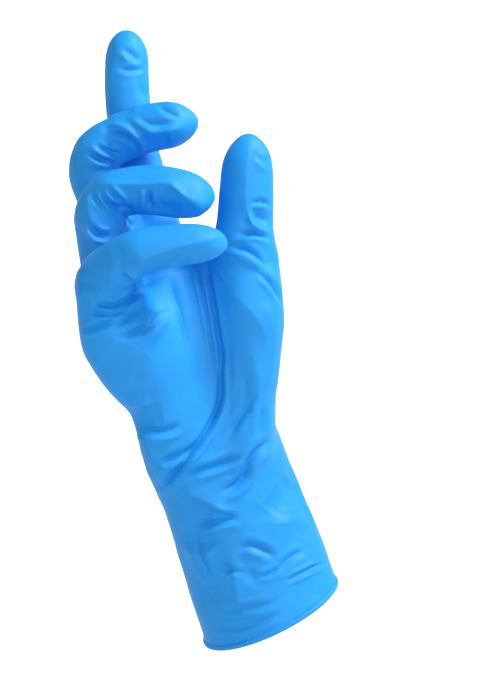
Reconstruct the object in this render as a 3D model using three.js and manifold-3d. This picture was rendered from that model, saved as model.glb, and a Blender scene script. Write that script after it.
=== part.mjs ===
// A nitrile exam glove as it is worn, with the hand left out: one thin dipped film with a rolled edge.
// Millimetres. The origin is the centre of the cuff mouth, +Z runs up to the fingertips, +X is the thumb's
// side and -Y is the side the palm is seen from.
import * as THREE from "three";
import Module from "manifold-3d";

const wasm = await Module();
wasm.setup();

// Driving sizes. The film is drawn 1.2 mm thick, so that it can be a solid; a real one is about 0.1 mm.
const wall = 1.2;
const beadRadius = 1.25;
const palmBreadth = 77;
const mouthWidth = 58.8;
const mouthDepth = 48;
// How far the cut of the mouth leans off square, in degrees: across the picture and towards the viewer.
const mouthSlant = { across: 8, near: 12 };
// The hollow runs this far out past the mouth, so that it opens it.
const pastMouth = 8;
// Lengths of the limbs along their middle lines, and the widths that their sections are shares of.
const lengths = { cuffAndPalm: 163, thumb: 146, thumbWeb: 38, index: 115.5, middle: 105.5, ring: 97, little: 86 };
const widths = { cuffAndPalm: palmBreadth, thumb: 30, thumbWeb: 30, index: 19, middle: 18.5, ring: 19, little: 17 };

// A limb is a soft tube that closes in a rounded tip. Its root is in shares of the palm's breadth, and its tip
// is a share of its own width. Each row is a place along its middle line:
//   at    how far along, as a share of the limb's length
//   rise  direction there seen from the front in degrees, 0 to the right and 90 upwards
//   near  degrees by which the line comes towards the viewer there
//   wide, deep  half sizes of the section as shares of the limb's width
//   turn  degrees by which the section is turned about the middle line
const limbs = [
  {
    name: "cuff and palm",
    root: [0, 0, 0],
    length: lengths.cuffAndPalm,
    width: widths.cuffAndPalm,
    tip: 0.2,
    rings: 29,
    around: 32,
    open: true,
    rows: [
      [0, 108, 5, mouthWidth / palmBreadth / 2, mouthDepth / palmBreadth / 2, 0],
      [0.12, 109, 9, 0.38, 0.295, 0],
      [0.24, 109, 13, 0.365, 0.27, 0],
      [0.35, 111, 14, 0.355, 0.25, 5],
      [0.48, 114, 12, 0.375, 0.22, 25],
      [0.55, 115, 10, 0.365, 0.21, 34],
      [0.63, 119, 9, 0.35, 0.215, 42],
      [0.71, 118, 7, 0.445, 0.23, 48],
      [0.8, 111, 5, 0.54, 0.23, 54],
      [0.9, 105, 4, 0.52, 0.2, 60],
      [1, 105, 4, 0.47, 0.17, 62],
    ],
  },
  {
    name: "thumb",
    root: [-0.256, -0.18, 0.647],
    length: lengths.thumb,
    width: widths.thumb,
    tip: 0.5,
    rings: 28,
    around: 22,
    rows: [
      [0, 70, 8, 0.6, 0.46, 0],
      [0.1, 70, 9, 0.56, 0.5, 0],
      [0.19, 76, 10, 0.44, 0.5, 0],
      [0.28, 85, 12, 0.36, 0.46, 0],
      [0.38, 91, 12, 0.41, 0.46, 0],
      [0.48, 92, 8, 0.48, 0.48, 0],
      [0.58, 96, 4, 0.48, 0.46, 0],
      [0.66, 92, 2, 0.46, 0.42, 0],
      [0.74, 87, 0, 0.385, 0.36, 0],
      [0.86, 88, 0, 0.36, 0.34, 0],
      [1, 88, 0, 0.3, 0.29, 0],
    ],
  },
  {
    name: "thumb web",
    root: [-0.52, -0.03, 1.57],
    length: lengths.thumbWeb,
    width: widths.thumbWeb,
    tip: 0.3,
    rings: 9,
    around: 18,
    rows: [
      [0, -8, 10, 0.8, 0.22, 0],
      [0.5, -6, 25, 0.82, 0.2, 0],
      [1, -4, 30, 0.7, 0.2, 0],
    ],
  },
  {
    name: "index finger",
    root: [-0.57, -0.02, 1.6],
    length: lengths.index,
    width: widths.index,
    tip: 0.72,
    rings: 17,
    around: 14,
    rows: [
      [0, 93, -2, 0.36, 0.3, 0],
      [0.2, 95, 0, 0.55, 0.5, 0],
      [0.36, 106, 0, 0.54, 0.52, 0],
      [0.54, 105, 0, 0.51, 0.5, 0],
      [0.7, 95, -4, 0.48, 0.48, 0],
      [1, 88, -2, 0.47, 0.46, 0],
    ],
  },
  {
    name: "middle finger",
    root: [-0.705, -0.18, 1.65],
    length: lengths.middle,
    width: widths.middle,
    tip: 0.7,
    rings: 19,
    around: 14,
    rows: [
      [0, 103, 2, 0.36, 0.34, 0],
      [0.28, 111, 4, 0.53, 0.52, 0],
      [0.48, 113, 4, 0.56, 0.5, 0],
      [0.615, 35, 8, 0.53, 0.5, 0],
      [0.75, 18, 9, 0.52, 0.5, 0],
      [0.86, 8, 9, 0.53, 0.5, 0],
      [1, 0, 9, 0.46, 0.46, 0],
    ],
  },
  {
    name: "ring finger",
    root: [-0.785, -0.38, 1.5],
    length: lengths.ring,
    width: widths.ring,
    tip: 0.7,
    rings: 19,
    around: 14,
    rows: [
      [0, 105, 4, 0.36, 0.36, 0],
      [0.26, 98, 8, 0.54, 0.54, 0],
      [0.44, 99, 9, 0.56, 0.52, 0],
      [0.59, 17, 10, 0.5, 0.5, 0],
      [0.72, -4, 9, 0.52, 0.5, 0],
      [0.82, -9, 9, 0.54, 0.5, 0],
      [1, -6, 9, 0.44, 0.45, 0],
    ],
  },
  {
    name: "little finger",
    root: [-0.805, -0.52, 1.38],
    length: lengths.little,
    width: widths.little,
    tip: 0.7,
    rings: 17,
    around: 14,
    rows: [
      [0, 106, 14, 0.42, 0.45, 0],
      [0.27, 100, 16, 0.61, 0.58, 0],
      [0.41, 35, 36, 0.6, 0.58, 0],
      [0.52, 32, 34, 0.58, 0.56, 0],
      [0.63, 12, 4, 0.53, 0.53, 0],
      [0.75, 6, 0, 0.5, 0.5, 0],
      [1, 0, -5, 0.38, 0.4, 0],
    ],
  },
];

// Folds pressed into or raised from the side that faces the viewer. Each row is a stroke between two points of
// the front view, and all six columns but the last are shares of the palm's breadth:
//   right, up  where it starts    toRight, toUp  where it ends
//   width  half width of the stroke
//   height in walls, below 0 for a crease and above 0 for a ridge
const folds = {
  "cuff and palm": [
    [-0.27, 1.11, -0.38, 0.86, 0.06, -1.8],
    [-0.38, 0.86, -0.56, 0.63, 0.06, -1.8],
    [-0.27, 0.61, -0.12, 0.75, 0.05, -1.2],
    [-0.12, 0.75, 0.0, 0.92, 0.05, -1.2],
    [-0.04, 0.52, 0.06, 0.69, 0.1, -1.3],
    [-0.04, 0.51, 0.14, 0.54, 0.06, -0.9],
    [-0.48, 0.66, -0.29, 0.56, 0.06, 1.1],
    [-0.29, 0.56, -0.18, 0.52, 0.06, 1.1],
    [-0.38, 0.47, -0.16, 0.49, 0.05, -1.0],
    [-0.18, 0.31, 0.02, 0.29, 0.05, -0.8],
    [0.04, 0.13, 0.28, 0.27, 0.05, -1.2],
    [-0.64, 0.93, -0.48, 0.96, 0.06, 1.0],
    [-0.84, 1.42, -0.6, 1.29, 0.07, 1.1],
    [-0.64, 1.56, -0.57, 1.7, 0.07, -2.2],
    [-0.36, 1.78, -0.3, 1.4, 0.05, -1.2],
  ],
  thumb: [
    [-0.09, 2.16, 0.0, 2.14, 0.06, -1.0],
    [-0.15, 1.98, 0.01, 1.96, 0.05, -1.2],
    [-0.19, 1.91, 0.01, 1.8, 0.05, -1.5],
    [-0.06, 1.8, 0.05, 1.64, 0.05, -1.2],
  ],
  "middle finger": [[-0.86, 2.5, -0.69, 2.4, 0.06, -0.9]],
  "ring finger": [[-0.9, 2.14, -0.76, 2.1, 0.06, -0.9]],
  "little finger": [[-0.9, 1.6, -0.66, 1.67, 0.06, -1.0]],
};

const degrees = Math.PI / 180;

function direction(rise, near) {
  return new THREE.Vector3(
    Math.cos(rise * degrees) * Math.cos(near * degrees),
    -Math.sin(near * degrees),
    Math.sin(rise * degrees) * Math.cos(near * degrees),
  );
}

// The value of one column at a share of the length: straight between rows, or eased through them.
const columns = ["at", "rise", "near", "wide", "deep", "turn"];

function columnAt(limb, column, share) {
  const rows = limb.rows;
  let row = 0;
  while (row < rows.length - 2 && share > rows[row + 1][0]) {
    row += 1;
  }
  const here = rows[row];
  const next = rows[row + 1];
  const part = Math.min(1, Math.max(0, (share - here[0]) / (next[0] - here[0])));
  const eased = part * part * (3 - 2 * part);
  const from = here[columns.indexOf(column)];
  const to = next[columns.indexOf(column)];
  const straight = column === "rise" || column === "near";
  return from + (to - from) * (straight ? part : eased * 0.5 + part * 0.5);
}

// The middle line of a limb, walked in short steps along its directions.
const steps = 400;

function middleLine(limb) {
  const point = new THREE.Vector3(...limb.root).multiplyScalar(palmBreadth);
  const line = [point.clone()];
  for (let step = 0; step < steps; step += 1) {
    const share = (step + 0.5) / steps;
    const way = direction(columnAt(limb, "rise", share), columnAt(limb, "near", share));
    point.addScaledVector(way, limb.length / steps);
    line.push(point.clone());
  }
  return line;
}

function pointAt(line, share) {
  const place = Math.min(steps, Math.max(0, share * steps));
  const low = Math.min(steps - 1, Math.floor(place));
  return line[low].clone().lerp(line[low + 1], place - low);
}

// Points of one section. inset is 0 for the outside and the wall for the inside of the film.
function sectionPoints(limb, line, share, inset) {
  const length = limb.length;
  const centre = pointAt(line, share);
  const tangent = direction(columnAt(limb, "rise", share), columnAt(limb, "near", share));
  const wide = columnAt(limb, "wide", share) * limb.width;
  const deep = columnAt(limb, "deep", share) * limb.width;
  const away = new THREE.Vector3(0, 1, 0);
  away.addScaledVector(tangent, -away.dot(tangent)).normalize();
  const right = new THREE.Vector3().crossVectors(away, tangent);
  const turn = columnAt(limb, "turn", share) * degrees;
  const wideAxis = right.clone().multiplyScalar(Math.cos(turn)).addScaledVector(away, Math.sin(turn));
  const deepAxis = away.clone().multiplyScalar(Math.cos(turn)).addScaledVector(right, -Math.sin(turn));
  const capLength = limb.tip * limb.width;
  const intoCap = Math.max(0, 1 - (length - inset - share * length) / (capLength - inset));
  const round = Math.sqrt(Math.max(0, 1 - Math.min(1, intoCap) ** 2));
  const points = [];
  for (let step = 0; step < limb.around; step += 1) {
    const angle = (step / limb.around) * Math.PI * 2;
    const outward = wideAxis.clone().multiplyScalar(Math.cos(angle) / wide);
    outward.addScaledVector(deepAxis, -Math.sin(angle) / deep).normalize();
    const edge = centre.clone();
    edge.addScaledVector(wideAxis, Math.cos(angle) * wide);
    edge.addScaledVector(deepAxis, -Math.sin(angle) * deep);
    const lift = foldLift(limb, edge, outward);
    const point = centre.clone();
    point.addScaledVector(wideAxis, Math.cos(angle) * (wide - inset + lift) * round);
    point.addScaledVector(deepAxis, -Math.sin(angle) * (deep - inset + lift) * round);
    points.push(point);
  }
  return { centre, tangent, points };
}

// How far the folds of a limb lift the film at a point, given the way out of the film there.
function foldLift(limb, point, outward) {
  const facing = Math.min(1, Math.max(0, -outward.y / 0.6));
  const rows = folds[limb.name] || [];
  let raised = 0;
  let sunk = 0;
  for (const [right, up, toRight, toUp, width, height] of rows) {
    const startX = right * palmBreadth;
    const startZ = up * palmBreadth;
    const alongX = toRight * palmBreadth - startX;
    const alongZ = toUp * palmBreadth - startZ;
    const run = alongX * alongX + alongZ * alongZ;
    const reach = ((point.x - startX) * alongX + (point.z - startZ) * alongZ) / run;
    const part = Math.min(1, Math.max(0, reach));
    const offX = point.x - startX - part * alongX;
    const offZ = point.z - startZ - part * alongZ;
    const away = Math.hypot(offX, offZ) / (width * palmBreadth);
    const lift = height * wall * Math.exp(-away * away);
    raised = Math.max(raised, lift);
    sunk = Math.min(sunk, lift);
  }
  return (raised + sunk) * facing * facing * (3 - 2 * facing);
}

// Ring stations along a limb: even along the body and closer together over the rounded tip.
function stationsOf(limb, inset) {
  const capShare = (limb.tip * limb.width) / limb.length;
  const end = 1 - inset / limb.length;
  const capRings = 5;
  const bodyRings = limb.rings - capRings;
  const stations = [];
  for (let ring = 0; ring < bodyRings; ring += 1) {
    stations.push(((1 - capShare) * ring) / bodyRings);
  }
  for (let ring = 0; ring < capRings; ring += 1) {
    stations.push(1 - capShare + (end - 1 + capShare) * Math.sin((ring / capRings) * 90 * degrees));
  }
  return { stations, end };
}

// The mouth is not cut square: its points slide along the cuff, and less so further up.
function slanted(point, section, weight) {
  const off = point.clone().sub(section.centre);
  const across = off.x * Math.tan(mouthSlant.across * degrees);
  const near = off.y * Math.tan(mouthSlant.near * degrees);
  return point.addScaledVector(section.tangent, (across + near) * weight);
}

function tube(limb, inset) {
  const line = middleLine(limb);
  const { stations, end } = stationsOf(limb, inset);
  const vertices = [];
  const triangles = [];
  const start = pointAt(line, 0);
  const tangent = direction(columnAt(limb, "rise", 0), columnAt(limb, "near", 0));
  const open = limb.open === true;
  if (open) {
    start.addScaledVector(tangent, inset > 0 ? -pastMouth : 0);
  } else {
    start.addScaledVector(tangent, inset);
  }
  vertices.push(start);
  const fade = mouthWidth * 0.9;
  stations.forEach((share, ring) => {
    const section = sectionPoints(limb, line, share, inset);
    for (const point of section.points) {
      if (open) {
        slanted(point, section, Math.max(0, 1 - (share * limb.length) / fade));
      }
      if (ring === 0 && inset > 0) {
        point.addScaledVector(tangent, open ? -pastMouth : inset);
      }
      vertices.push(point);
    }
  });
  vertices.push(pointAt(line, end));
  const around = limb.around;
  const last = stations.length - 1;
  const tip = vertices.length - 1;
  for (let step = 0; step < around; step += 1) {
    const next = (step + 1) % around;
    triangles.push(0, 1 + step, 1 + next);
    for (let ring = 0; ring < last; ring += 1) {
      const here = 1 + ring * around;
      const above = here + around;
      triangles.push(here + step, above + next, here + next);
      triangles.push(here + step, above + step, above + next);
    }
    triangles.push(1 + last * around + next, 1 + last * around + step, tip);
  }
  return solidOf(vertices, triangles);
}

function solidOf(vertices, triangles) {
  const flat = new Float32Array(vertices.flatMap((point) => [point.x, point.y, point.z]));
  const body = new wasm.Manifold(new wasm.Mesh({
    numProp: 3,
    vertProperties: flat,
    triVerts: new Uint32Array(triangles),
  }));
  return body;
}

function geometryOf(body) {
  const mesh = body.getMesh();
  const geometry = new THREE.BufferGeometry();
  geometry.setAttribute("position", new THREE.BufferAttribute(new Float32Array(mesh.vertProperties), 3));
  geometry.setIndex(new THREE.BufferAttribute(new Uint32Array(mesh.triVerts), 1));
  return geometry;
}

let outside = null;
let inside = null;
for (const limb of limbs) {
  const outer = tube(limb, 0);
  const inner = tube(limb, wall);
  outside = outside ? outside.add(outer) : outer;
  inside = inside ? inside.add(inner) : inner;
}
const shell = outside.subtract(inside);

// The rolled edge: a round bead that follows the middle of the film round the mouth.
const beadSides = 8;

function bead() {
  const cuff = limbs[0];
  const section = sectionPoints(cuff, middleLine(cuff), 0, wall / 2);
  const ring = section.points.map((point) => slanted(point, section, 1));
  const vertices = [];
  const triangles = [];
  const count = ring.length;
  ring.forEach((point, step) => {
    const before = ring[(step + count - 1) % count];
    const after = ring[(step + 1) % count];
    const forward = after.clone().sub(before).normalize();
    const outward = new THREE.Vector3().crossVectors(forward, section.tangent).normalize();
    const upward = new THREE.Vector3().crossVectors(outward, forward);
    for (let side = 0; side < beadSides; side += 1) {
      const angle = (side / beadSides) * Math.PI * 2;
      const place = point.clone();
      place.addScaledVector(outward, Math.cos(angle) * beadRadius);
      place.addScaledVector(upward, Math.sin(angle) * beadRadius);
      vertices.push(place);
    }
  });
  for (let step = 0; step < count; step += 1) {
    for (let side = 0; side < beadSides; side += 1) {
      const here = step * beadSides;
      const next = ((step + 1) % count) * beadSides;
      const turned = (side + 1) % beadSides;
      triangles.push(here + side, next + side, next + turned);
      triangles.push(here + side, next + turned, here + turned);
    }
  }
  return solidOf(vertices, triangles);
}

const glove = new THREE.Group();
glove.name = "nitrile_exam_glove";
const film = new THREE.Mesh(
  geometryOf(shell.add(bead())),
  new THREE.MeshStandardMaterial({ color: 0x3496e6, roughness: 0.5, metalness: 0 }),
);
film.name = "glove";
glove.add(film);

export default glove;
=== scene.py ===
"""A blue nitrile exam glove in the shape that a hand gives it, seen from the palm side.

The film is one closed shell with an open hollow: soft tubes for the cuff, palm, thumb and fingers are melted
into one skin, and then the folds of the stretched film are pressed into it one by one.
"""

import math

import bpy
import numpy as np
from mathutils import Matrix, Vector, noise


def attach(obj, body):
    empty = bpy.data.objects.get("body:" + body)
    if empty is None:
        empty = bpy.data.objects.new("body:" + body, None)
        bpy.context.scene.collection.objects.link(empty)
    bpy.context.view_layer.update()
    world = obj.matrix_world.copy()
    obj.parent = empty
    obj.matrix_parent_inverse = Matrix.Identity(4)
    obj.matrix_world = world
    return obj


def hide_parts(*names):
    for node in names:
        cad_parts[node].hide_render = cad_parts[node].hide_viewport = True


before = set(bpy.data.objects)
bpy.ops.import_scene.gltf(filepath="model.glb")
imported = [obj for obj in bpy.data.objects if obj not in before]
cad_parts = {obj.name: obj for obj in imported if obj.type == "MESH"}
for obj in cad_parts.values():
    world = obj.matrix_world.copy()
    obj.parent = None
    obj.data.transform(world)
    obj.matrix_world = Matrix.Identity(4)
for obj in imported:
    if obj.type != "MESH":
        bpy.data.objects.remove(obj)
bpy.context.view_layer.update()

MM = 0.001

# The viewpoint: straight ahead of the palm, 1.3 m away and level.
VIEW_DISTANCE = 1300.0
VIEW_CENTRE = (-8.37, 106.3)
PHOTO_SIZE = (500, 700)
POINTS_PER_MM = 2.45

# Driving sizes in millimetres, the same as in the part's source.
PALM_BREADTH = 77.0
MOUTH_WIDTH = 58.8
MOUTH_DEPTH = 48.0
MOUTH_SLANT_ACROSS = 8.0
MOUTH_SLANT_NEAR = 12.0
BEAD_RADIUS = 1.25

# The slant of the mouth fades out over this share of its width, and its edge rises this far above its centre.
SLANT_FADE = 0.9
MOUTH_RISE = 9.0

# The wall drawn here, at the edge and deep inside, and the distances from the edge between which it grows. The
# part's source has one wall thickness of its own.
EDGE_WALL = 0.9
DEEP_WALL = 4.2
WALL_GROWS_FROM = 2.0
WALL_FULL_AT = 34.0

# How strongly the folds stand out, the highest of them, and the film that the deepest crease leaves.
FOLD_RELIEF = 1.45
HIGHEST_FOLD = 3.2
WALL_LEFT = 0.5

# The film folds fully where it faces the viewer by this much, and less where it turns away.
FULLY_FACING = 0.4

# Soft unevenness of the whole film: a height, a size and a seed each.
UNEVENNESS = [(0.25, 11.0, 1), (0.1, 4.0, 2)]

# How far the film spans the hollows between the palm, the thumb and its web, and where on the cuff the span
# starts. Below that the spanning body is held back inside the film.
BRIDGE = 9.0
BRIDGE_STARTS = 22.0
BRIDGE_FULL = 50.0
CUFF_HELD_BACK = 4.0

# Two limbs meet where a point of the skin is this near to both, and the film is evened out there.
MEETING_NEAR = 1.0
MEETING_FAR = 7.0

# How finely the limbs are drawn: steps along the middle line, gaps between rings, points round a ring.
TRACE_STEPS = 400
TRACE_SAMPLE = 8
SECTION_SMOOTHING = 14
TIP_RINGS = 10
TIP_LAST_ANGLE = 88
TIP_POINT = 0.02
SKIN_RING_GAP = 1.4
BODY_RING_GAP = 1.6
HOLLOW_RING_GAP = 4.0
CUFF_RING_POINTS = 96
LIMB_RING_POINTS = 72
HOLLOW_RING_POINTS = 40
RIM_POINTS = 180
HOLLOW_PAST_MOUTH = 10.0

# How finely the tubes are melted together, and the most triangles that the skin may keep.
SKIN_VOXEL = 0.45
BODY_VOXEL = 0.9
HOLLOW_VOXEL = 2.0
SKIN_TRIANGLES = 176000

# A distance that is farther than anything here.
FAR = 1e9

# Each limb is a soft tube. Its rows hold: share of the length, rise and near of the middle line in degrees,
# half width and half depth of the section as shares of the limb's width, and the section's turn in degrees.
LIMBS = {
    "cuff": {
        "root": (0.0, 0.0, 0.0),
        "length": 163.0,
        "width": PALM_BREADTH,
        "tip": 0.2,
        "rows": [
            (0.0, 108, 5, MOUTH_WIDTH / PALM_BREADTH / 2, MOUTH_DEPTH / PALM_BREADTH / 2, 0),
            (0.12, 109, 9, 0.38, 0.295, 0),
            (0.24, 109, 13, 0.365, 0.27, 0),
            (0.35, 111, 14, 0.355, 0.25, 5),
            (0.48, 114, 12, 0.375, 0.22, 25),
            (0.55, 115, 10, 0.365, 0.21, 34),
            (0.63, 119, 9, 0.35, 0.215, 42),
            (0.71, 118, 7, 0.445, 0.23, 48),
            (0.8, 111, 5, 0.54, 0.23, 54),
            (0.9, 105, 4, 0.52, 0.2, 60),
            (1.0, 105, 4, 0.47, 0.17, 62),
        ],
    },
    "thumb": {
        "root": (-0.256, -0.18, 0.647),
        "length": 146.0,
        "width": 30.0,
        "tip": 0.5,
        "rows": [
            (0.0, 70, 8, 0.6, 0.46, 0),
            (0.1, 70, 9, 0.56, 0.5, 0),
            (0.19, 76, 10, 0.44, 0.5, 0),
            (0.28, 85, 12, 0.36, 0.46, 0),
            (0.38, 91, 12, 0.41, 0.46, 0),
            (0.48, 92, 8, 0.48, 0.48, 0),
            (0.58, 96, 4, 0.48, 0.46, 0),
            (0.66, 92, 2, 0.46, 0.42, 0),
            (0.74, 87, 0, 0.385, 0.36, 0),
            (0.86, 88, 0, 0.36, 0.34, 0),
            (1.0, 88, 0, 0.3, 0.29, 0),
        ],
    },
    "web": {
        "root": (-0.52, -0.03, 1.63),
        "length": 38.0,
        "width": 30.0,
        "tip": 0.3,
        "rows": [
            (0.0, -8, 10, 0.8, 0.22, 0),
            (0.5, -6, 25, 0.82, 0.2, 0),
            (1.0, -4, 30, 0.7, 0.2, 0),
        ],
    },
    "span": {
        "root": (-0.66, -0.1, 1.9),
        "length": 34.0,
        "width": 18.0,
        "tip": 0.3,
        "rows": [
            (0.0, 95, 0, 0.8, 0.3, 0),
            (1.0, 100, 0, 0.78, 0.3, 0),
        ],
    },
    "index": {
        "root": (-0.57, -0.02, 1.6),
        "length": 115.5,
        "width": 19.0,
        "tip": 0.72,
        "rows": [
            (0.0, 93, -2, 0.36, 0.3, 0),
            (0.2, 95, 0, 0.55, 0.5, 0),
            (0.36, 106, 0, 0.54, 0.52, 0),
            (0.54, 105, 0, 0.51, 0.5, 0),
            (0.7, 95, -4, 0.48, 0.48, 0),
            (1.0, 88, -2, 0.47, 0.46, 0),
        ],
    },
    "middle": {
        "root": (-0.705, -0.18, 1.65),
        "length": 105.5,
        "width": 18.5,
        "tip": 0.7,
        "rows": [
            (0.0, 103, 2, 0.36, 0.34, 0),
            (0.28, 111, 4, 0.53, 0.52, 0),
            (0.48, 113, 4, 0.56, 0.5, 0),
            (0.615, 35, 8, 0.53, 0.5, 0),
            (0.75, 18, 9, 0.52, 0.5, 0),
            (0.86, 8, 9, 0.53, 0.5, 0),
            (1.0, 0, 9, 0.46, 0.46, 0),
        ],
    },
    "ring": {
        "root": (-0.785, -0.38, 1.5),
        "length": 97.0,
        "width": 19.0,
        "tip": 0.7,
        "rows": [
            (0.0, 105, 4, 0.36, 0.36, 0),
            (0.26, 98, 8, 0.54, 0.54, 0),
            (0.44, 99, 9, 0.56, 0.52, 0),
            (0.59, 17, 10, 0.5, 0.5, 0),
            (0.72, -4, 9, 0.52, 0.5, 0),
            (0.82, -9, 9, 0.54, 0.5, 0),
            (1.0, -6, 9, 0.44, 0.45, 0),
        ],
    },
    "little": {
        "root": (-0.805, -0.52, 1.38),
        "length": 86.0,
        "width": 17.0,
        "tip": 0.7,
        "rows": [
            (0.0, 106, 14, 0.42, 0.45, 0),
            (0.27, 100, 16, 0.61, 0.58, 0),
            (0.41, 35, 36, 0.6, 0.58, 0),
            (0.52, 32, 34, 0.58, 0.56, 0),
            (0.63, 12, 4, 0.53, 0.53, 0),
            (0.75, 6, 0, 0.5, 0.5, 0),
            (1.0, 0, -5, 0.38, 0.4, 0),
        ],
    },
}

# The shapes of the folds across their course, in half widths of the fold.
CREASE_FALL = 1.5
CREASE_POWER = 1.3
CREASE_SHOULDER = 2.0
RIDGE_FALL = 1.2
RIDGE_POWER = 1.4
EDGE_FALL = 0.9
LAP_FADE = 3.5
LAP_STEP = 0.22
FOLD_REACH = 4.5
LAP_REACH = 9.0

# A fold fades out towards its ends over this share of its length, and over no more than these millimetres.
END_SHARE = 0.4
END_LENGTH = 9.0
COURSE_GAP = 2.0

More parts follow.
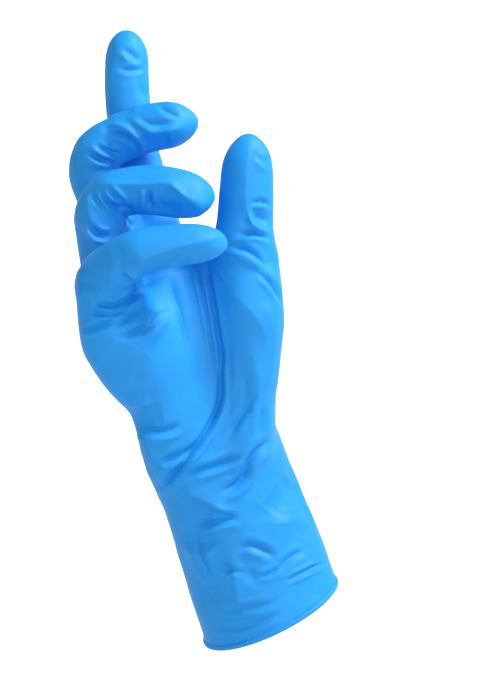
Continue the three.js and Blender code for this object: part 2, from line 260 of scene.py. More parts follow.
# Folds of the film on the side that faces the viewer, named for where they are. Each has a kind, a half width
# and a height in millimetres, how high the film swells on the left and on the right of it, and its course in
# points of the photograph's frame, 500 wide and 700 high. The kinds are:
#   crease, a narrow groove
#   ridge, a narrow raised fold
#   edge, a wide fold with a sharp top
#   dent, a soft hollow
#   lap, a lip of film that stands up on the left of the course
FOLDS = {
    "ball of the thumb": ("crease", 1.3, 1.7, 0.5, 0.2, [
        (205, 258), (209, 285), (214, 313), (218, 338), (221, 360), (221, 380), (220, 400), (213, 420),
        (200, 441), (182, 464), (160, 492)]),
    "ball of the thumb lip": ("lap", 1.5, 1.3, 0, 0, [
        (220, 352), (221, 380), (220, 400), (213, 420), (200, 441), (182, 464), (158, 494)]),
    "beside the ball": ("crease", 0.8, 0.6, 0.3, 0.1, [(209, 264), (216, 274), (222, 284)]),
    "palm line one": ("crease", 0.9, 0.9, 0.1, 0.3, [
        (195, 262), (202, 290), (208, 320), (212, 345), (217, 378)]),
    "palm line two": ("crease", 1.2, 0.8, 0.1, 0.3, [
        (170, 272), (175, 292), (181, 312), (186, 335), (189, 352)]),
    "pocket under little finger": ("dent", 5.0, 2.4, 0, 0, [(153, 280), (162, 298), (163, 312)]),
    "heel ray one": ("crease", 1.5, 1.3, 0.5, 0.5, [(115, 338), (135, 332), (147, 322), (152, 310)]),
    "heel ray two": ("crease", 1.6, 1.2, 0.5, 0.5, [(138, 336), (152, 326), (163, 311)]),
    "heel ray three": ("crease", 1.0, 0.7, 0.4, 0.3, [(112, 327), (124, 321), (136, 311), (141, 303)]),
    "heel brow": ("edge", 7.0, 1.3, 0, 0, [(104, 333), (116, 339), (132, 347), (150, 358)]),
    "heel hollow": ("dent", 8.0, 1.6, 0, 0, [(104, 355), (122, 375), (140, 392)]),
    "little knuckle crease": ("crease", 1.2, 1.3, 0.3, 1.0, [
        (92, 298), (101, 304), (114, 305), (127, 300), (139, 291), (146, 284)]),
    "little knuckle crease two": ("crease", 1.0, 1.0, 0.4, 0.8, [
        (84, 309), (97, 313), (110, 314), (121, 309), (131, 302)]),
    "little knuckle crease three": ("crease", 1.2, 0.9, 0.3, 0.7, [
        (80, 327), (94, 328), (106, 323), (116, 316)]),
    "little proximal edge": ("edge", 3.2, 1.0, 0, 0, [(91, 306), (102, 292), (113, 281), (124, 271)]),
    "little middle joint ridge": ("ridge", 1.2, 1.1, 0, 0, [
        (123, 264), (129, 272), (137, 279), (145, 283)]),
    "little middle joint crease": ("crease", 1.2, 1.1, 0, 0, [
        (118, 270), (126, 278), (136, 284), (144, 287)]),
    "little long edge": ("edge", 4.5, 1.6, 0, 0, [
        (126, 267), (145, 258), (170, 249), (195, 243), (213, 239), (224, 235)]),
    "little soft fold": ("ridge", 1.3, 0.5, 0, 0, [(152, 268), (166, 266), (180, 268)]),
    "ring base arc": ("ridge", 1.3, 1.1, 0, 0, [
        (84, 220), (88, 231), (94, 239), (101, 242), (110, 241)]),
    "ring base valley": ("crease", 1.1, 1.1, 0.2, 0.2, [(90, 222), (95, 231), (102, 236), (112, 235)]),
    "ring base inner ridge": ("ridge", 0.9, 0.7, 0, 0, [(96, 224), (103, 229), (112, 229)]),
    "ring web one": ("crease", 1.0, 0.9, 0.2, 0.2, [(127, 214), (123, 228)]),
    "ring web two": ("crease", 1.0, 0.9, 0.2, 0.2, [(126, 216), (133, 228)]),
    "ring proximal edge": ("edge", 3.0, 1.0, 0, 0, [(88, 196), (90, 212), (96, 230)]),
    "ring middle joint one": ("crease", 1.1, 1.3, 0.8, 0.5, [(100, 193), (110, 203), (124, 211)]),
    "ring middle joint two": ("crease", 1.0, 1.0, 0.7, 0.3, [(108, 189), (117, 197), (126, 206)]),
    "ring middle joint three": ("crease", 1.0, 0.9, 0.5, 0.3, [(91, 192), (98, 202), (108, 211)]),
    "ring middle joint spot": ("dent", 2.2, 2.2, 0, 0, [(119, 209), (128, 211)]),
    "ring long edge": ("edge", 4.0, 1.6, 0, 0, [
        (92, 188), (107, 186), (125, 185), (145, 185), (160, 184), (172, 187), (185, 196), (198, 201),
        (211, 200)]),
    "ring end joint": ("crease", 1.3, 1.3, 0.4, 0.7, [(150, 190), (149, 199), (151, 208)]),
    "ring tip edge": ("ridge", 1.2, 0.6, 0, 0, [(168, 184), (178, 190), (186, 197)]),
    "middle joint arc": ("crease", 1.5, 1.7, 1.3, 0.1, [
        (107, 136), (118, 134), (128, 139), (134, 146), (138, 154)]),
    "middle joint hollow": ("dent", 4.5, 1.7, 0, 0, [(112, 144), (128, 153)]),
    "middle lower fold one": ("crease", 1.1, 1.1, 0.8, 0.8, [(86, 151), (99, 158), (114, 163)]),
    "middle lower fold two": ("crease", 1.0, 1.0, 0.6, 0.6, [(96, 146), (108, 152), (122, 158)]),
    "middle lower fold three": ("ridge", 1.0, 0.6, 0, 0, [(82, 158), (92, 165), (104, 169)]),
    "middle long edge": ("edge", 4.0, 1.3, 0, 0, [(134, 137), (150, 133), (170, 130), (188, 125)]),
    "middle end dent one": ("crease", 1.4, 0.9, 0.3, 0.2, [(156, 106), (167, 111), (180, 118)]),
    "middle end dent two": ("crease", 1.4, 0.9, 0.2, 0.4, [
        (137, 119), (152, 124), (166, 123), (176, 120)]),
    "middle top fold": ("ridge", 1.6, 0.6, 0, 0, [(128, 118), (142, 126), (158, 133)]),
    "index tip dent": ("dent", 1.6, 0.8, 0, 0, [(122, 49), (131, 54), (140, 62)]),
    "index tip fold": ("ridge", 1.2, 0.5, 0, 0, [(119, 53), (127, 60), (139, 67)]),
    "index end joint": ("crease", 1.1, 0.6, 0.2, 0.3, [(117, 68), (130, 71), (146, 68)]),
    "index side dent": ("dent", 1.8, 0.7, 0, 0, [(140, 88), (143, 95)]),
    "index soft edge": ("edge", 4.0, 0.7, 0, 0, [(134, 76), (135, 95), (136, 118)]),
    "thumb long edge": ("edge", 6.0, 0.8, 0, 0, [(249, 144), (247, 165), (246, 190), (247, 212)]),
    "thumb joint crease": ("crease", 1.1, 1.0, 0.2, 0.5, [(250, 204), (261, 201), (270, 206)]),
    "thumb lobe dent": ("dent", 2.2, 1.3, 0, 0, [(255, 214), (262, 219), (268, 221)]),
    "thumb lobe edge": ("ridge", 1.3, 1.0, 0, 0, [(249, 207), (250, 220), (257, 229), (270, 234)]),
    "thumb base crease one": ("crease", 1.2, 1.2, 0.3, 0.8, [(236, 236), (254, 233), (272, 240)]),
    "thumb base crease two": ("crease", 1.3, 1.3, 0.3, 0.9, [
        (228, 246), (245, 249), (259, 257), (273, 270)]),
    "thumb base fold": ("ridge", 1.3, 0.7, 0, 0, [(222, 252), (238, 257), (254, 266), (266, 277)]),
    "thumb base triangle": ("dent", 3.0, 1.3, 0, 0, [(266, 252), (272, 264)]),
    "thumb base crease three": ("crease", 1.2, 1.1, 0.3, 0.6, [
        (256, 272), (268, 280), (276, 292), (281, 306)]),
    "ball long fold one": ("ridge", 2.6, 0.5, 0, 0, [(233, 345), (236, 375), (232, 405)]),
    "ball long fold two": ("crease", 2.4, 0.5, 0.1, 0.1, [(243, 372), (246, 395), (240, 420)]),
    "ball long fold three": ("ridge", 2.4, 0.4, 0, 0, [(253, 350), (258, 385), (255, 415)]),
    "heel lower ridge": ("ridge", 2.0, 0.9, 0, 0, [(128, 405), (140, 406), (152, 402)]),
    "wrist left crease": ("crease", 1.6, 1.3, 0.2, 0.9, [
        (136, 424), (151, 430), (166, 430), (182, 424)]),
    "wrist left crease two": ("crease", 1.5, 1.3, 0.2, 0.9, [
        (156, 461), (173, 457), (187, 451), (197, 443)]),
    "wrist facet": ("edge", 2.4, 1.1, 0, 0, [(145, 440), (151, 452), (157, 466), (163, 484)]),
    "cuff crease one": ("crease", 1.5, 1.3, 0.4, 0.7, [
        (184, 481), (197, 471), (214, 466), (230, 460), (243, 454)]),
    "cuff crease two": ("crease", 1.7, 1.5, 0.4, 0.8, [
        (217, 494), (234, 486), (244, 476), (249, 463), (259, 450), (273, 438)]),
    "cuff wide dent": ("dent", 7.0, 2.0, 0, 0, [(270, 512), (282, 496), (293, 480)]),
    "cuff wide dent brow": ("edge", 3.5, 0.9, 0, 0, [(256, 513), (266, 498), (279, 482), (291, 470)]),
    "cuff ridge": ("edge", 4.5, 1.9, 0, 0, [(178, 485), (195, 494), (213, 504), (232, 512)]),
    "cuff under ridge": ("dent", 3.2, 1.2, 0, 0, [(184, 497), (198, 506), (215, 512)]),
    "cuff crease three": ("crease", 1.6, 1.4, 0.2, 1.0, [(191, 521), (214, 521), (240, 516)]),
    "cuff dent": ("dent", 2.8, 1.2, 0, 0, [(185, 533), (200, 539), (216, 544)]),
    "cuff soft ridge": ("ridge", 2.4, 0.6, 0, 0, [(186, 548), (202, 553), (220, 552)]),
    "cuff crease four": ("crease", 1.6, 1.1, 0.3, 0.6, [
        (236, 551), (248, 545), (262, 549), (276, 558)]),
    "cuff pit": ("dent", 1.9, 1.3, 0, 0, [(222, 565), (229, 570)]),
    "cuff pit two": ("dent", 2.4, 0.6, 0, 0, [(246, 570), (256, 580)]),
    "cuff crease five": ("crease", 1.4, 1.0, 0.3, 0.3, [
        (280, 571), (286, 562), (295, 555), (306, 550)]),
    "edge crease one": ("crease", 0.9, 1.3, 0.5, 0.6, [(283, 583), (305, 572), (327, 561)]),
    "edge dent": ("dent", 2.4, 0.9, 0, 0, [(205, 582), (213, 592), (222, 602)]),
    "edge band": ("crease", 1.3, 0.6, 0.2, 0.4, [(222, 612), (238, 608), (262, 606), (280, 598)]),
    "edge band two": ("crease", 1.2, 0.5, 0.2, 0.3, [(214, 628), (236, 628), (258, 624), (282, 611)]),
    "edge valley": ("dent", 4.5, 0.5, 0, 0, [(288, 590), (304, 592), (320, 585)]),
    "heel side facet": ("edge", 6.0, 0.8, 0, 0, [(112, 352), (122, 372), (134, 392), (144, 404)]),
    "heel side dent": ("dent", 5.0, 0.9, 0, 0, [(128, 416), (146, 418), (164, 416)]),
    "wrist side facet": ("edge", 3.5, 1.1, 0, 0, [(136, 432), (150, 446), (162, 462), (172, 480)]),
    "ball side facet": ("edge", 5.0, 0.9, 0, 0, [(262, 300), (272, 330), (272, 360), (266, 390)]),
    "ball top facet": ("edge", 5.0, 0.8, 0, 0, [(226, 290), (240, 300), (256, 318), (266, 340)]),
    "ball lower fold": ("crease", 1.6, 1.0, 0.3, 0.4, [(226, 440), (236, 424), (248, 408), (256, 392)]),
    "ball lower fold two": ("crease", 1.4, 0.8, 0.3, 0.3, [(258, 440), (262, 424), (262, 404)]),
    "cuff centre facet": ("edge", 6.0, 1.2, 0, 0, [(232, 566), (236, 582), (238, 598), (242, 612)]),
    "cuff left facet": ("edge", 5.0, 1.0, 0, 0, [(184, 500), (190, 530), (200, 560), (208, 590)]),
    "cuff left fold": ("crease", 1.5, 1.0, 0.4, 0.5, [(186, 532), (198, 546), (204, 562), (214, 578)]),
    "cuff right facet": ("edge", 5.0, 1.0, 0, 0, [(262, 520), (280, 524), (296, 520), (308, 512)]),
    "cuff right dent": ("dent", 6.0, 1.2, 0, 0, [(300, 536), (306, 522), (304, 508)]),
    "cuff small fold one": ("crease", 1.2, 0.9, 0.4, 0.4, [(206, 508), (222, 514), (236, 516)]),
    "cuff small fold two": ("crease", 1.1, 0.6, 0.2, 0.2, [(222, 574), (232, 570), (244, 573)]),
    "cuff small fold three": ("crease", 1.0, 0.8, 0.3, 0.3, [(258, 578), (270, 574), (282, 566)]),
    "index left facet": ("edge", 4.0, 0.8, 0, 0, [(114, 60), (112, 84), (112, 110), (116, 124)]),
    "ring tip facet": ("edge", 3.0, 0.9, 0, 0, [(186, 196), (196, 204), (204, 206)]),
    "ring lower dent": ("dent", 3.0, 1.2, 0, 0, [(154, 206), (168, 209), (182, 209)]),
    "little lower dent": ("dent", 3.0, 1.0, 0, 0, [(150, 272), (172, 264), (192, 256)]),
    "little knuckle facet": ("edge", 4.5, 1.1, 0, 0, [(86, 262), (98, 266), (110, 268), (122, 264)]),
    "little side facet": ("edge", 4.5, 1.0, 0, 0, [(84, 268), (82, 284), (84, 300)]),
    "middle side facet": ("edge", 4.0, 1.1, 0, 0, [(76, 152), (84, 142), (96, 134), (110, 128)]),
    "middle lower dent": ("dent", 3.5, 1.2, 0, 0, [(140, 144), (156, 142), (172, 138)]),
    "thumb right facet": ("edge", 5.0, 0.5, 0, 0, [(262, 130), (266, 150), (267, 176), (265, 196)]),
    "thumb small fold": ("ridge", 1.2, 0.5, 0, 0, [(254, 150), (260, 156), (266, 158)]),
    "thumb small fold two": ("ridge", 1.2, 0.5, 0, 0, [(254, 160), (260, 168), (266, 170)]),
}


# Limbs as soft tubes

def directions(rise, near):
    """Unit vectors from angles in degrees: rise in the front view and near towards the viewer."""
    rise = np.radians(rise)
    near = np.radians(near)
    return np.stack([np.cos(rise) * np.cos(near), -np.sin(near), np.sin(rise) * np.cos(near)], -1)


def smoothed(values, reach):
    """A running mean over a column of values, with its ends held."""
    kernel = np.hanning(2 * reach + 3)[1:-1]
    padded = np.concatenate([np.full(reach, values[0]), values, np.full(reach, values[-1])])
    return np.convolve(padded, kernel / kernel.sum(), mode="valid")


def trace_limb(limb):
    """The middle line of a limb and its section sizes at even steps, in millimetres."""
    rows = np.array(limb["rows"], float)
    shares = np.linspace(0.0, 1.0, TRACE_STEPS + 1)
    columns = [np.interp(shares, rows[:, 0], rows[:, index]) for index in range(1, 6)]
    rise, near = columns[0], columns[1]
    wide, deep, turn = (smoothed(column, SECTION_SMOOTHING) for column in columns[2:])
    way = directions(rise, near)
    middle = (way[1:] + way[:-1]) / 2 * (limb["length"] / TRACE_STEPS)
    start = np.array(limb["root"]) * PALM_BREADTH
    line = np.concatenate([[start], start + np.cumsum(middle, 0)])
    away = np.array([0.0, 1.0, 0.0]) - way * way[:, 1:2]
    away /= np.linalg.norm(away, axis=1, keepdims=True)
    right = np.cross(away, way)
    turn = np.radians(turn)[:, None]
    return {
        "shares": shares,
        "line": line,
        "way": way,
        "wide": wide * limb["width"],
        "deep": deep * limb["width"],
        "wide_axis": right * np.cos(turn) + away * np.sin(turn),
        "deep_axis": away * np.cos(turn) - right * np.sin(turn),
    }


def tube(name, trace, inset, ring_gap, around, out_of_mouth=0.0):
    """Points and faces of one closed limb, drawn in from its outside by an inset that can grow along it."""
    limb = LIMBS[name]
    opens = name == "cuff"
    length = limb["length"]
    cap = limb["tip"] * limb["width"]
    body = np.arange(0.0, length - cap, ring_gap)
    turned = np.sin(np.radians(np.linspace(0, TIP_LAST_ANGLE, TIP_RINGS)))
    inset_end = float(inset(length))
    stations = np.concatenate([body, length - cap + (cap - inset_end) * turned])
    shares = stations / length
    place = shares * TRACE_STEPS
    low = np.clip(np.floor(place).astype(int), 0, TRACE_STEPS - 1)
    part = (place - low)[:, None]

    def at(column):
        values = trace[column]
        if values.ndim == 1:
            return values[low] * (1 - part[:, 0]) + values[low + 1] * part[:, 0]
        return values[low] * (1 - part) + values[low + 1] * part

    centre, way, wide, deep = at("line"), at("way"), at("wide"), at("deep")
    wide_axis, deep_axis = at("wide_axis"), at("deep_axis")
    into = np.clip((stations - (length - cap)) / (cap - inset_end), 0, 1)
    rounding = np.sqrt(1 - into ** 2)
    drawn_in = inset(stations)
    angle = np.linspace(0, 2 * math.pi, around, endpoint=False)
    across = ((wide - drawn_in) * rounding)[:, None, None] * np.cos(angle)[None, :, None]
    through = ((deep - drawn_in) * rounding)[:, None, None] * -np.sin(angle)[None, :, None]
    offset = wide_axis[:, None, :] * across + deep_axis[:, None, :] * through
    points = centre[:, None, :] + offset
    if opens:
        fade = np.clip(1 - stations / (MOUTH_WIDTH * SLANT_FADE), 0, 1)[:, None]
        lift = offset[:, :, 0] * math.tan(math.radians(MOUTH_SLANT_ACROSS))
        lift += offset[:, :, 1] * math.tan(math.radians(MOUTH_SLANT_NEAR))
        points += way[:, None, :] * (lift * fade)[:, :, None]
        points[0] -= way[0] * out_of_mouth
    rings = len(stations)
    flat = points.reshape(-1, 3)
    first = centre[0] - way[0] * (out_of_mouth if opens else 0)
    vertices = np.concatenate([flat, [first], [centre[-1] + way[-1] * TIP_POINT]])
    grid = np.arange(rings * around).reshape(rings, around)
    beyond = np.roll(grid, -1, axis=1)
    faces = np.stack([grid[:-1], grid[1:], beyond[1:], beyond[:-1]], -1).reshape(-1, 4).tolist()
    bottom, top = rings * around, rings * around + 1
    faces += [[bottom, a, b] for a, b in zip(grid[0], beyond[0])]
    faces += [[top, b, a] for a, b in zip(grid[-1], beyond[-1])]
    return vertices, faces


# Meshes and what is done to them

def mesh_object(name, vertices, faces, edges=()):
    """A mesh object from points in metres, put in the scene."""
    mesh = bpy.data.meshes.new(name)
    mesh.from_pydata(vertices, list(edges), faces)
    mesh.update()
    made = bpy.data.objects.new(name, mesh)
    bpy.context.scene.collection.objects.link(made)
    return made


def joined_tubes(name, parts):
    """One object from several (points, faces) pairs."""
    vertices, faces, offset = [], [], 0
    for points, quads in parts:
        vertices.append(points)
        faces += [[index + offset for index in face] for face in quads]
        offset += len(points)
    return mesh_object(name, (np.concatenate(vertices) * MM).tolist(), faces)


def settle_modifiers(made):
    """Turns what the modifiers make into the object's own mesh, and takes them off."""
    graph = bpy.context.evaluated_depsgraph_get()
    result = bpy.data.meshes.new_from_object(made.evaluated_get(graph))
    made.modifiers.clear()
    old = made.data
    made.data = result
    bpy.data.meshes.remove(old)
    return made


def melt(made, voxel):
    """Melts overlapping closed tubes into one skin."""
    remesh = made.modifiers.new("melt", "REMESH")
    remesh.mode = "VOXEL"
    remesh.voxel_size = voxel * MM
    remesh.adaptivity = 0.0
    return settle_modifiers(made)


def points_of(mesh):
    """The points of a mesh in millimetres."""
    values = np.empty(len(mesh.vertices) * 3, np.float32)
    mesh.vertices.foreach_get("co", values)
    return values.reshape(-1, 3).astype(float) / MM


def normals_of(mesh):
    """The way that the surface faces at each point of a mesh."""
    values = np.empty(len(mesh.vertices) * 3, np.float32)
    mesh.vertex_normals.foreach_get("vector", values)
    return values.reshape(-1, 3).astype(float)


def put_points(mesh, points):
    """Moves the points of a mesh to places in millimetres."""
    mesh.vertices.foreach_set("co", (points * MM).astype(np.float32).ravel())
    mesh.update()


def edges_of(mesh):
    """The two points of each edge of a mesh."""
    values = np.empty(len(mesh.edges) * 2, np.int32)
    mesh.edges.foreach_get("vertices", values)
    return values.reshape(-1, 2)


def neighbour_mean(values, edges):
    """The mean of each point's neighbours."""
    count = np.bincount(edges.ravel(), minlength=len(values)).astype(float)
    total = np.empty_like(values)
    for axis in range(values.shape[1]):
        column = values[:, axis]
        total[:, axis] = np.bincount(edges[:, 0], column[edges[:, 1]], len(values))
        total[:, axis] += np.bincount(edges[:, 1], column[edges[:, 0]], len(values))
    return total / count[:, None]


def relax(values, edges, rounds, amount):
    """Evens out values over a mesh. The amount can differ from point to point."""
    amount = np.asarray(amount, float)
    if amount.ndim == 1:
        amount = amount[:, None]
    for _ in range(rounds):
        values = values + (neighbour_mean(values, edges) - values) * amount
    return values


def ease(low, high, value):
    """Rises softly from 0 at the low value to 1 at the high one."""
    part = np.clip((value - low) / (high - low), 0, 1)
    return part * part * (3 - 2 * part)


# Folds

def seen_at(u, v):
    """Millimetres right and up in the front view, at the mouth's depth, from a point of the photograph."""
    right = VIEW_CENTRE[0] + (u - PHOTO_SIZE[0] / 2) / POINTS_PER_MM
    up = VIEW_CENTRE[1] - (v - PHOTO_SIZE[1] / 2) / POINTS_PER_MM
    return right, up


def front_view(points):
    """Where points of the glove are seen in the front view, in millimetres at the depth of the mouth."""
    scale = VIEW_DISTANCE / (VIEW_DISTANCE + points[:, 1])
    right = VIEW_CENTRE[0] + (points[:, 0] - VIEW_CENTRE[0]) * scale
    up = VIEW_CENTRE[1] + (points[:, 2] - VIEW_CENTRE[1]) * scale
    return np.stack([right, up], -1)


def smooth_course(course):
    """A course of points drawn as a smooth line."""
    knots = np.array([seen_at(u, v) for u, v in course])
    if len(knots) == 2:
        return knots
    ends = np.concatenate([[2 * knots[0] - knots[1]], knots, [2 * knots[-1] - knots[-2]]])
    line = []
    for index in range(len(knots) - 1):
        a, b, c, d = ends[index:index + 4]
        count = max(2, int(np.linalg.norm(c - b) / COURSE_GAP))
        t = np.linspace(0, 1, count, endpoint=False)[:, None]
        line.append(0.5 * (2 * b + (c - a) * t + (2 * a - 5 * b + 4 * c - d) * t ** 2
                           + (3 * b - a - 3 * c + d) * t ** 3))
    line.append(knots[-1:])
    return np.concatenate(line)


def fold_profile(kind, height, left, right, across):
    """The lift over a fold at a signed distance across it, in half widths and positive on its left."""
    away = np.abs(across)
    if kind == "crease":
        lift = -height * np.exp(-CREASE_FALL * away ** CREASE_POWER)
        left_swell = left * np.exp(-(across - CREASE_SHOULDER) ** 2)
        right_swell = right * np.exp(-(across + CREASE_SHOULDER) ** 2)
        return lift + left_swell + right_swell
    if kind == "ridge":
        return height * np.exp(-RIDGE_FALL * away ** RIDGE_POWER)
    if kind == "edge":
        return height * np.exp(-EDGE_FALL * away)
    if kind == "lap":
        lip = np.exp(-np.maximum(across, 0) / LAP_FADE) / (1 + np.exp(-across / LAP_STEP))
        return height * lip
    return -height * np.exp(-across ** 2)


def fold_lift(seen, fold):
    """How far one fold moves each seen point of the film, in millimetres."""
    kind, width, height, left, right, course = fold
    line = smooth_course(course)
    reach = width * (LAP_REACH if kind == "lap" else FOLD_REACH)
    low, high = line.min(0) - reach, line.max(0) + reach
    near = np.nonzero(((seen > low) & (seen < high)).all(1))[0]
    lift = np.zeros(len(seen))
    if not len(near):
        return lift
    point = seen[near]
    best = np.full(len(near), FAR)
    side = np.zeros(len(near))
    along = np.zeros(len(near))
    pieces = line[1:] - line[:-1]
    lengths = np.linalg.norm(pieces, axis=1)
    starts = np.concatenate([[0], np.cumsum(lengths)[:-1]])
    total = lengths.sum()
    for start, piece, length, before in zip(line[:-1], pieces, lengths, starts):
        off = point - start
        part = np.clip((off @ piece) / length ** 2, 0, 1)
        gap = off - part[:, None] * piece
        distance = np.hypot(gap[:, 0], gap[:, 1])
        closer = distance < best
        best[closer] = distance[closer]
        turned = piece[0] * off[:, 1] - piece[1] * off[:, 0]
        side[closer] = np.sign(turned)[closer]
        along[closer] = (before + part * length)[closer]
    taper = min(END_SHARE * total, END_LENGTH)
    strength = ease(0, taper, along + width * 0.5) * ease(0, taper, total - along + width * 0.5)
    lift[near] = fold_profile(kind, height, left, right, best * side / width) * strength
    return lift


def film_noise(points, scale, seed):
    """Soft random relief for each point, from about -1 to 1, at a size in millimetres."""
    offset = Vector((seed * 17.3, seed * 5.1, -seed * 9.7))
    return np.array([noise.noise(Vector(point) + offset) for point in points / scale])


# The film and its hollow

def even_inset(amount):
    """An inset that stays the same all along a limb."""
    return lambda distance: np.asarray(distance) * 0.0 + amount


def hand_body(traces):
    """The cuff, palm, thumb and web as one body, swollen and drawn back so that the film spans hollows."""
    def cuff_inset(distance):
        return CUFF_HELD_BACK - (CUFF_HELD_BACK + BRIDGE) * ease(BRIDGE_STARTS, BRIDGE_FULL, distance)

    parts = [tube("cuff", traces["cuff"], cuff_inset, BODY_RING_GAP, CUFF_RING_POINTS)]
    for name in ("thumb", "web"):
        parts.append(tube(name, traces[name], even_inset(-BRIDGE), BODY_RING_GAP, LIMB_RING_POINTS))
    body = melt(joined_tubes("body", parts), BODY_VOXEL)
    mesh = body.data
    edges = edges_of(mesh)
    points = relax(points_of(mesh), edges, rounds=6, amount=0.5)
    put_points(mesh, points)
    normals = relax(normals_of(mesh), edges, rounds=5, amount=0.6)
    normals /= np.linalg.norm(normals, axis=1, keepdims=True)
    points = relax(points - normals * BRIDGE, edges, rounds=10, amount=0.5)
    faces = [list(polygon.vertices) for polygon in mesh.polygons]
    bpy.data.objects.remove(body)
    return points, faces


def wall_growth(distance):
    """The drawn wall: thin at the edge that shows, thicker deep inside, so that folds never pierce it."""
    grown = ease(WALL_GROWS_FROM, WALL_FULL_AT, np.asarray(distance, float))
    return EDGE_WALL + (DEEP_WALL - EDGE_WALL) * grown


def build_skin():
    """The outside of the film: melted tubes, softened where they meet, then folded."""
    traces = {name: trace_limb(limb) for name, limb in LIMBS.items()}
    parts = [tube(name, traces[name], even_inset(0.0), SKIN_RING_GAP, CUFF_RING_POINTS) for name in LIMBS]
    parts.append(hand_body(traces))
    skin = melt(joined_tubes("glove_film", parts), SKIN_VOXEL)
    mesh = skin.data
    points = points_of(mesh)
    edges = edges_of(mesh)

    # How near each point is to a second limb: there the film spans the joint instead of creasing into it.
    gaps = []
    for trace in traces.values():
        line = trace["line"][::TRACE_SAMPLE]
        size = np.maximum(trace["wide"], trace["deep"])[::TRACE_SAMPLE]
        best = np.full(len(points), FAR)
        for centre, radius in zip(line, size):
            best = np.minimum(best, np.linalg.norm(points - centre, axis=1) - radius)
        gaps.append(best)
    gaps = np.sort(np.array(gaps), axis=0)
    meeting = 1 - ease(MEETING_NEAR, MEETING_FAR, gaps[1])
    points = relax(points, edges, rounds=8, amount=0.5)
    points = relax(points, edges, rounds=60, amount=0.6 * meeting)
    put_points(mesh, points)

    seen = front_view(points)
    normals = relax(normals_of(mesh), edges, rounds=8, amount=0.6)
    normals /= np.linalg.norm(normals, axis=1, keepdims=True)
    eye = np.array([VIEW_CENTRE[0], -VIEW_DISTANCE, VIEW_CENTRE[1]]) - points
    eye /= np.linalg.norm(eye, axis=1, keepdims=True)
    facing = ease(0.0, FULLY_FACING, (normals * eye).sum(1))
    lift = np.zeros(len(points))
    for fold in FOLDS.values():
        lift += fold_lift(seen, fold)
    lift = FOLD_RELIEF * lift * facing
    lift += sum(height * film_noise(points, size, seed) for height, size, seed in UNEVENNESS)
    deepest = wall_growth(points[:, 2] - MOUTH_RISE) - WALL_LEFT
    lift = np.clip(lift, -deepest, HIGHEST_FOLD)
    points = points + normals * lift[:, None]
    points = relax(points, edges, rounds=1, amount=0.5)
    put_points(mesh, points)
    thin = skin.modifiers.new("thin out", "DECIMATE")
    thin.ratio = min(1.0, SKIN_TRIANGLES / (2 * len(mesh.polygons)))
    settle_modifiers(skin)
    return skin, traces


def hollow_out(skin, traces):
    """Cuts the open hollow into the skin."""
    parts = []
    for name in LIMBS:
        inset = wall_growth if name == "cuff" else even_inset(DEEP_WALL)
        parts.append(tube(name, traces[name], inset, HOLLOW_RING_GAP, HOLLOW_RING_POINTS, HOLLOW_PAST_MOUTH))
    hollow = melt(joined_tubes("hollow", parts), HOLLOW_VOXEL)
    cut = skin.modifiers.new("hollow", "BOOLEAN")
    cut.operation = "DIFFERENCE"
    cut.solver = "MANIFOLD"
    cut.object = hollow
    settle_modifiers(skin)
    bpy.data.objects.remove(hollow)


# Materials

def linear(hex_colour):
    """sRGB hex to the linear values that a shader takes."""
    channels = [int(hex_colour[index:index + 2], 16) / 255 for index in (1, 3, 5)]
    return tuple(c / 12.92 if c <= 0.04045 else ((c + 0.055) / 1.055) ** 2.4 for c in channels) + (1.0,)


def add_node(material, kind, links=None, inputs=None):
    """Adds one node: inputs are the values of its sockets, and links lead other sockets into it."""
    tree = material.node_tree
    node = tree.nodes.new(kind)
    for key, value in (inputs or {}).items():
        node.inputs[key].default_value = value
    for key, source in (links or {}).items():
        tree.links.new(source, node.inputs[key])
    return node


def dipped_nitrile():
    """Nitrile rubber film, dipped on a former and dried: a satin skin with a faint orange-peel grain."""
    material = bpy.data.materials.new("dipped_nitrile_satin_blue")
    material.use_nodes = True
    material.node_tree.nodes.clear()
    place = add_node(material, "ShaderNodeTexCoord")
    cloud = add_node(material, "ShaderNodeTexNoise", {"Vector": place.outputs["Object"]},
                     inputs={"Scale": 45.0, "Detail": 3.0, "Roughness": 0.5})
    colour = add_node(material, "ShaderNodeValToRGB", {"Fac": cloud.outputs["Fac"]})
    colour.color_ramp.elements[0].position = 0.3
    colour.color_ramp.elements[0].color = linear("#1292e4")
    colour.color_ramp.elements[1].position = 0.7
    colour.color_ramp.elements[1].color = linear("#129aec")
    grain = add_node(material, "ShaderNodeTexNoise", {"Vector": place.outputs["Object"]},
                     inputs={"Scale": 1400.0, "Detail": 2.0, "Roughness": 0.5})
    bump = add_node(material, "ShaderNodeBump", {"Height": grain.outputs["Fac"]},
                    inputs={"Strength": 0.12, "Distance": 0.0002})
    shine = add_node(material, "ShaderNodeMapRange", {"Value": cloud.outputs["Fac"]},
                     inputs={"From Min": 0.3, "From Max": 0.7, "To Min": 0.56, "To Max": 0.64})
    shader = add_node(material, "ShaderNodeBsdfPrincipled",
                      {"Base Color": colour.outputs["Color"], "Roughness": shine.outputs["Result"],
                       "Normal": bump.outputs["Normal"]},
                      inputs={"IOR": 1.5, "Metallic": 0.0, "Specular IOR Level": 0.45})
    add_node(material, "ShaderNodeOutputMaterial", {"Surface": shader.outputs["BSDF"]})
    return material


def plain_material(name, hex_colour, roughness):
    """A material of one colour and one roughness."""
    material = bpy.data.materials.new(name)
    material.use_nodes = True
    shader = material.node_tree.nodes["Principled BSDF"]
    shader.inputs["Base Color"].default_value = linear(hex_colour)
    shader.inputs["Roughness"].default_value = roughness
    return material


# The rolled edge

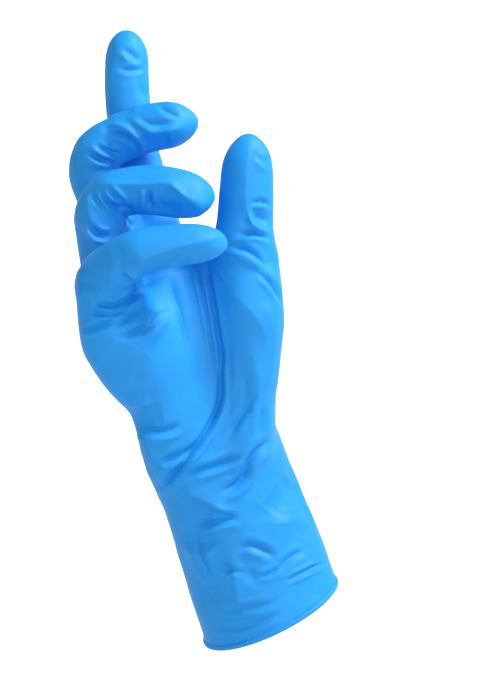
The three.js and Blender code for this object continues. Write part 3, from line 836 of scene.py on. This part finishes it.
def edge_ring(trace, inset):
    """The rim of the mouth as a closed course of points, drawn in by an inset."""
    angle = np.linspace(0, 2 * math.pi, RIM_POINTS, endpoint=False)[:, None]
    offset = trace["wide_axis"][0] * (trace["wide"][0] - inset) * np.cos(angle)
    offset = offset - trace["deep_axis"][0] * (trace["deep"][0] - inset) * np.sin(angle)
    lift = offset[:, :1] * math.tan(math.radians(MOUTH_SLANT_ACROSS))
    lift = lift + offset[:, 1:2] * math.tan(math.radians(MOUTH_SLANT_NEAR))
    return trace["line"][0] + offset + trace["way"][0] * lift


def rolled_bead(trace, material):
    """The rolled edge, swept round the rim by a node tree."""
    ring = edge_ring(trace, EDGE_WALL / 2)
    edges = [(index, (index + 1) % RIM_POINTS) for index in range(RIM_POINTS)]
    bead = mesh_object("cuff_bead", (ring * MM).tolist(), [], edges)
    tree = bpy.data.node_groups.new("sweep bead", "GeometryNodeTree")
    tree.interface.new_socket("Geometry", in_out="INPUT", socket_type="NodeSocketGeometry")
    radius = tree.interface.new_socket("Bead radius", in_out="INPUT", socket_type="NodeSocketFloat")
    tree.interface.new_socket("Geometry", in_out="OUTPUT", socket_type="NodeSocketGeometry")
    nodes, links = tree.nodes, tree.links
    inlet, outlet = nodes.new("NodeGroupInput"), nodes.new("NodeGroupOutput")
    to_curve = nodes.new("GeometryNodeMeshToCurve")
    profile = nodes.new("GeometryNodeCurvePrimitiveCircle")
    profile.inputs["Resolution"].default_value = 20
    to_mesh = nodes.new("GeometryNodeCurveToMesh")
    smooth = nodes.new("GeometryNodeSetShadeSmooth")
    realise = nodes.new("GeometryNodeRealizeInstances")
    coat = nodes.new("GeometryNodeSetMaterial")
    coat.inputs["Material"].default_value = material
    links.new(inlet.outputs["Geometry"], to_curve.inputs["Mesh"])
    links.new(to_curve.outputs["Curve"], to_mesh.inputs["Curve"])
    links.new(inlet.outputs["Bead radius"], profile.inputs["Radius"])
    links.new(profile.outputs["Curve"], to_mesh.inputs["Profile Curve"])
    links.new(to_mesh.outputs["Mesh"], smooth.inputs["Geometry"])
    links.new(smooth.outputs["Geometry"], realise.inputs["Geometry"])
    links.new(realise.outputs["Geometry"], coat.inputs["Geometry"])
    links.new(coat.outputs["Geometry"], outlet.inputs["Geometry"])
    sweep = bead.modifiers.new("sweep", "NODES")
    sweep.node_group = tree
    sweep[radius.identifier] = BEAD_RADIUS * MM
    return settle_modifiers(bead)


def finish_mesh(made, material):
    """Smooth shading and one material."""
    made.data.materials.clear()
    made.data.materials.append(material)
    made.data.polygons.foreach_set("use_smooth", [True] * len(made.data.polygons))
    made.data.update()


# Studio and camera

def studio_bowl():
    """A pale floor that curves up all round into a backdrop."""
    floor_radius = 1.8
    floor_level = -0.13
    bend = 0.6
    rim_height = 2.6
    around = 64
    profile = [(0.0, 0.0), (floor_radius, 0.0)]
    for angle in np.radians(np.arange(10, 91, 10)):
        profile.append((floor_radius + bend * math.sin(angle), bend - bend * math.cos(angle)))
    profile.append((floor_radius + bend, rim_height))
    turns = np.linspace(0, 2 * math.pi, around, endpoint=False)
    vertices = []
    for radius, height in profile:
        for turn in turns:
            vertices.append((radius * math.cos(turn), radius * math.sin(turn), height + floor_level))
    faces = []
    for ring in range(len(profile) - 1):
        for step in range(around):
            a, b = ring * around + step, ring * around + (step + 1) % around
            faces.append((a, b, b + around, a + around))
    bowl = mesh_object("studio_bowl", vertices, faces)
    finish_mesh(bowl, plain_material("matt_white_paper", "#d9dadb", 0.9))


# Each light has its place, its target and its size in metres, and its power in watts.
GLOVE_MIDDLE = (-0.03, -0.02, 0.12)
LIGHTS = {
    "key": {"place": (0.75, -0.4, 1.2), "target": GLOVE_MIDDLE, "size": 0.4, "power": 22.5},
    "fill": {"place": (0.2, -1.8, 0.5), "target": GLOVE_MIDDLE, "size": 1.2, "power": 9.5},
    "backdrop": {"place": (0.0, 0.9, 1.2), "target": (0.0, 2.4, 0.1), "size": 1.6, "power": 64},
}


def area_light(name, place, target, size, power):
    """A square light that looks at its target."""
    data = bpy.data.lights.new(name, "AREA")
    data.size = size
    data.energy = power
    light = bpy.data.objects.new(name, data)
    light.location = place
    light.rotation_euler = (Vector(target) - Vector(place)).to_track_quat("-Z", "Y").to_euler()
    bpy.context.scene.collection.objects.link(light)


def studio():
    """A bright backdrop, soft light from the front, and a key that grazes the film from the thumb's side."""
    studio_bowl()
    world = bpy.data.worlds.new("pale_room")
    bpy.context.scene.world = world
    world.use_nodes = True
    background = world.node_tree.nodes["Background"]
    background.inputs["Color"].default_value = linear("#ffffff")
    background.inputs["Strength"].default_value = 0.1
    for name, light in LIGHTS.items():
        area_light(name, **light)


def photograph_camera():
    """The camera of the photograph: level, straight ahead, with a long lens."""
    # The film's blue and the white ground come out as in the photograph only with the plain display curve.
    bpy.context.scene.view_settings.view_transform = "Standard"
    data = bpy.data.cameras.new("camera")
    data.sensor_fit = "AUTO"
    data.sensor_width = 36.0
    frame_height = PHOTO_SIZE[1] / POINTS_PER_MM
    data.lens = data.sensor_width * VIEW_DISTANCE / frame_height
    data.clip_end = 20.0
    camera = bpy.data.objects.new("camera", data)
    camera.location = (VIEW_CENTRE[0] * MM, -VIEW_DISTANCE * MM, VIEW_CENTRE[1] * MM)
    camera.rotation_euler = (math.radians(90), 0, 0)
    bpy.context.scene.collection.objects.link(camera)
    bpy.context.scene.camera = camera


# The glove, its camera and its light

nitrile = dipped_nitrile()
glove_film, limb_traces = build_skin()
hollow_out(glove_film, limb_traces)
finish_mesh(glove_film, nitrile)
cuff_bead = rolled_bead(limb_traces["cuff"], nitrile)
finish_mesh(cuff_bead, nitrile)
for piece in (glove_film, cuff_bead):
    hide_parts("glove")
    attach(piece, "root")
photograph_camera()
studio()
